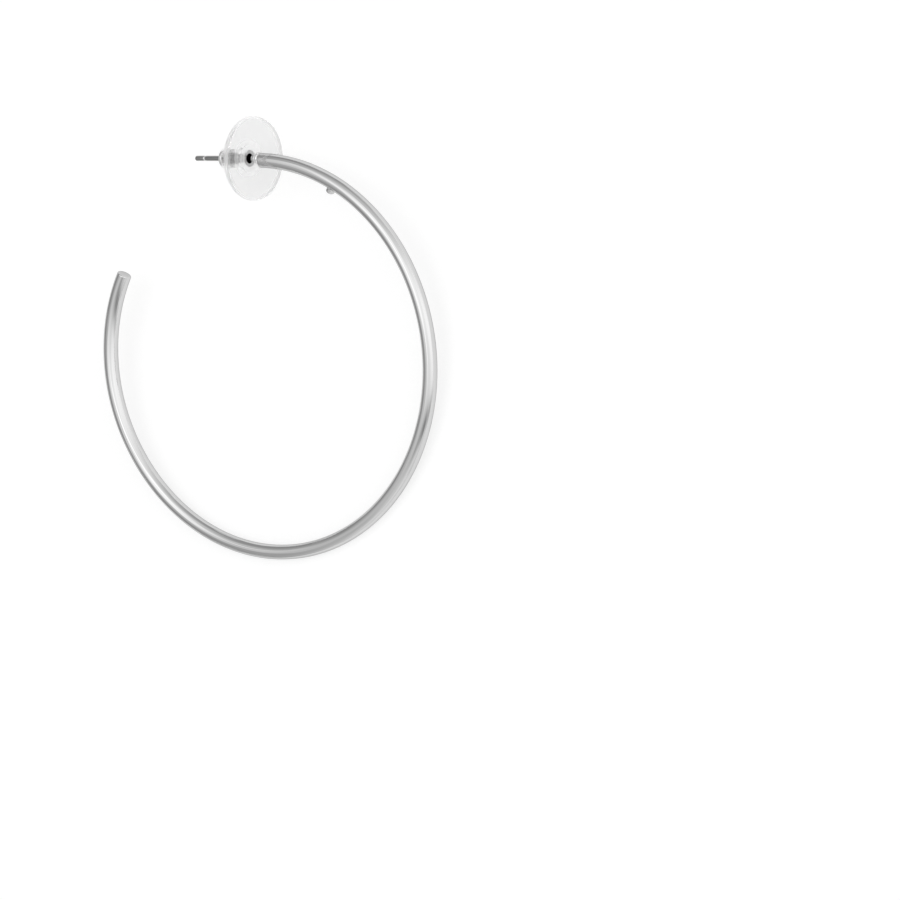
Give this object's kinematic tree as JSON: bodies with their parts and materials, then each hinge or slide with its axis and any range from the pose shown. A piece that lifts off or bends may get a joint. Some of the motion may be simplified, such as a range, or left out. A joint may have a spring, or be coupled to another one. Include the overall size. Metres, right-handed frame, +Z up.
{
  "type": "hoop earring",
  "caption": "Large plain open hoop earring of round polished wire, with a straight ear post and a push-on clutch of metal and clear plastic, lying on its side.",
  "frame": {"origin": "on the surface under the middle of the part's box, as it lies on its side", "axes": "+Z up from the surface and close to the hoop's own axis, +Y across the hoop towards the end that carries the post and clutch, +X to the right of it seen from above"},
  "size_m": [0.0552, 0.0598, 0.0114],
  "materials": {
    "polished_silver": "softly polished silver-coloured plating on brass",
    "post_steel": "plain drawn steel, darker than the plating",
    "barrel_metal": "bright turned metal",
    "clear_plastic": "clear glossy moulded plastic"
  },
  "bodies": {
    "hoop": {"hoop": "polished_silver", "ear_post": "post_steel"},
    "clutch": {"clutch_barrel": "barrel_metal", "clutch_disc": "clear_plastic"}
  },
  "joints": [
    {"name": "clutch_slide", "type": "slide", "parent": "hoop", "child": "clutch", "axis": [-0.9849, 0.1474, -0.0908], "range_m": [0, 0.012]}
  ]
}
